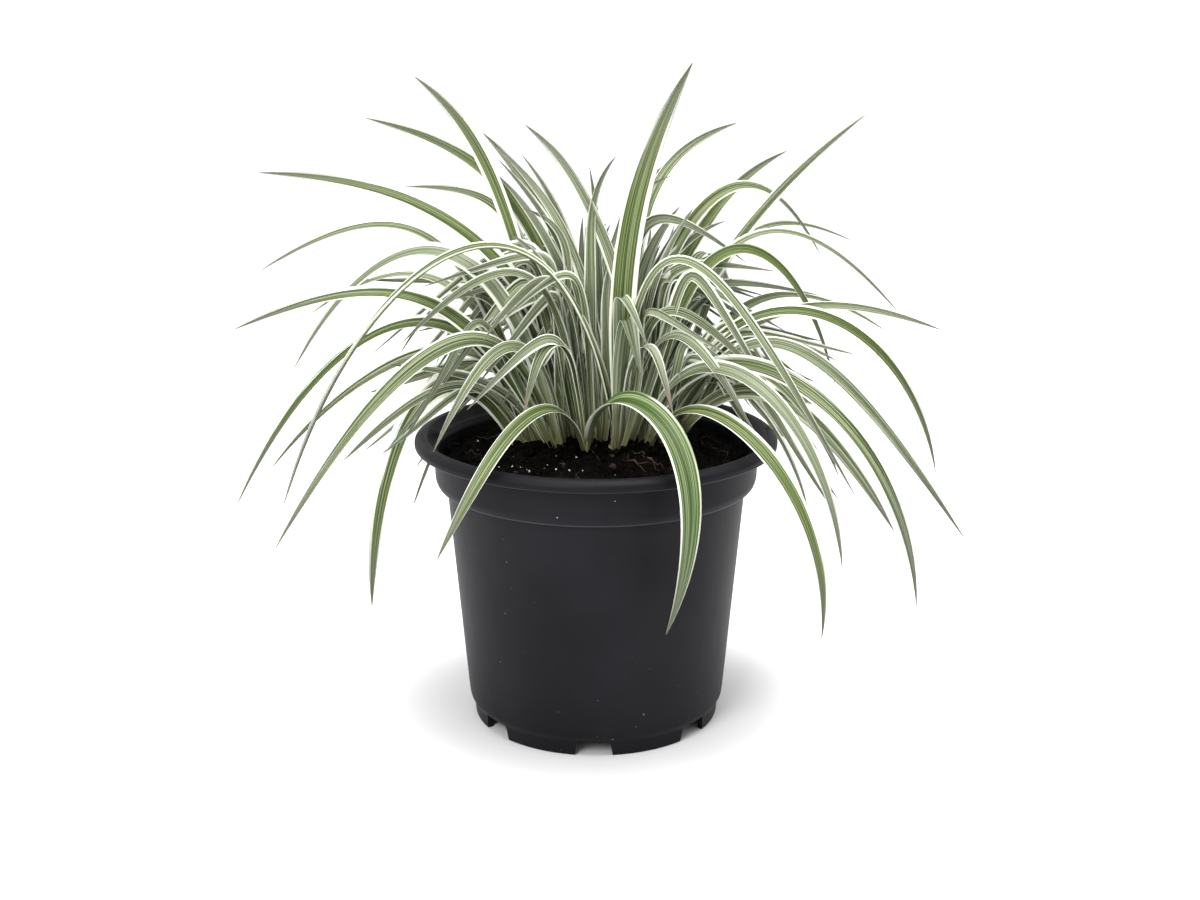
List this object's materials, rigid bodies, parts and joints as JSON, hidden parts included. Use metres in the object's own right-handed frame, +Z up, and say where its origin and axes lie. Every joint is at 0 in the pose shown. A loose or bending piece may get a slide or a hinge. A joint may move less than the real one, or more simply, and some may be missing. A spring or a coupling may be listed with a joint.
{
  "type": "potted ornamental grass clump",
  "caption": "Clump of arching variegated strap leaves with cream margins, growing from peat soil in a round black plastic nursery pot with a rolled lip.",
  "frame": {"origin": "on the floor at the pot's axis, which is the middle of the bounding box's underside", "axes": "+Z up along the pot's axis; -Y towards the viewer of the front view; +X to that viewer's right, along the clump's widest spread"},
  "size_m": [0.3364, 0.2077, 0.3042],
  "materials": {
    "black_plastic": "satin black moulded polypropylene with light scuffs",
    "peat": "rough dark peat soil with white perlite grains and fibres",
    "sheath": "pale folded leaf sheaths",
    "leaf": "satin leaf, green centre with fine lines and cream margins"
  },
  "bodies": {
    "root": {"nursery_pot": "black_plastic", "potting_soil": "peat", "shoot_a": "sheath", "shoot_b": "sheath", "shoot_c": "sheath", "shoot_d": "sheath", "shoot_e": "sheath", "shoot_f": "sheath", "shoot_g": "sheath", "shoot_h": "sheath", "shoot_i": "sheath", "leaf_left_1": "leaf", "leaf_left_2": "leaf", "leaf_left_3": "leaf", "leaf_left_4": "leaf", "leaf_left_5": "leaf", "leaf_left_6": "leaf", "leaf_left_7": "leaf", "leaf_left_8": "leaf", "leaf_left_9": "leaf", "leaf_left_10": "leaf", "leaf_top_1": "leaf", "leaf_top_2": "leaf", "leaf_top_3": "leaf", "leaf_top_4": "leaf", "leaf_top_5": "leaf", "leaf_top_6": "leaf", "leaf_top_7": "leaf", "leaf_right_1": "leaf", "leaf_right_2": "leaf", "leaf_right_3": "leaf", "leaf_right_4": "leaf", "leaf_right_5": "leaf", "leaf_right_6": "leaf", "leaf_right_7": "leaf", "leaf_right_8": "leaf", "leaf_right_9": "leaf", "leaf_right_10": "leaf", "leaf_right_11": "leaf", "leaf_front_1": "leaf", "leaf_front_2": "leaf", "leaf_front_3": "leaf", "leaf_front_4": "leaf", "leaf_front_5": "leaf", "leaf_front_6": "leaf", "leaf_front_7": "leaf", "leaf_front_8": "leaf", "leaf_front_9": "leaf", "leaf_front_10": "leaf", "leaf_front_11": "leaf", "leaf_back_1": "leaf", "leaf_back_2": "leaf", "leaf_back_3": "leaf", "leaf_back_4": "leaf", "leaf_back_5": "leaf"}
  },
  "joints": []
}
